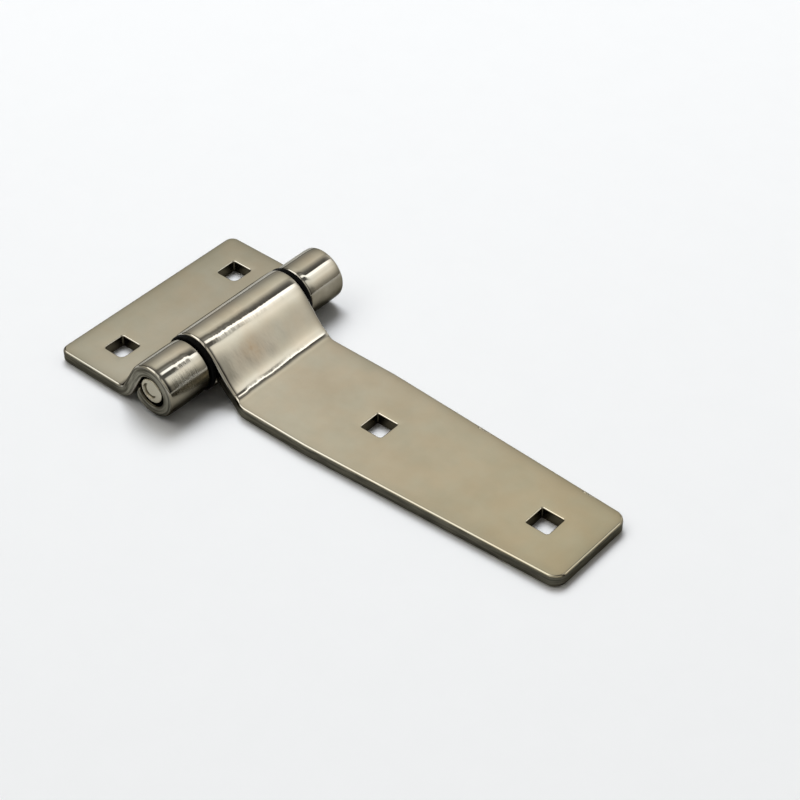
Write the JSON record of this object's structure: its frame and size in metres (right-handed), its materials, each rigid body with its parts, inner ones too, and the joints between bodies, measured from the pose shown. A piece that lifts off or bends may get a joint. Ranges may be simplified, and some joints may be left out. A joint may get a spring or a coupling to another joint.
{
  "type": "t hinge",
  "caption": "T hinge with rolled knuckles: a rectangular jamb plate and a cranked, tapered strap turn on a plain pin in flanged bushes; square holes take carriage bolts.",
  "frame": {"origin": "on the jamb plate's back face, midway between its two square holes", "axes": "+X runs across the pin towards the strap's tip, +Y runs along the pin, and +Z points from the back faces to the front; the back faces of both leaves lie on Z = 0"},
  "size_m": [0.208, 0.09, 0.0227],
  "materials": {
    "jamb_plate_steel": "vibratory-polished stainless sheet, bright rounded edges",
    "strap_steel": "vibratory-polished stainless sheet, bright rounded edges",
    "pin_steel": "plain round stainless bar, cropped ends polished flush",
    "bush_nylon": "moulded black nylon"
  },
  "bodies": {
    "jamb": {"jamb_plate": "jamb_plate_steel", "hinge_pin": "pin_steel"},
    "strap": {"strap": "strap_steel", "bush_near": "bush_nylon", "bush_far": "bush_nylon"}
  },
  "joints": [
    {"name": "strap_swing", "type": "hinge", "parent": "jamb", "child": "strap", "pos_m": [0.0315, 0, 0.0114], "axis": [0, -1, 0], "range_deg": [-112, 190]}
  ]
}
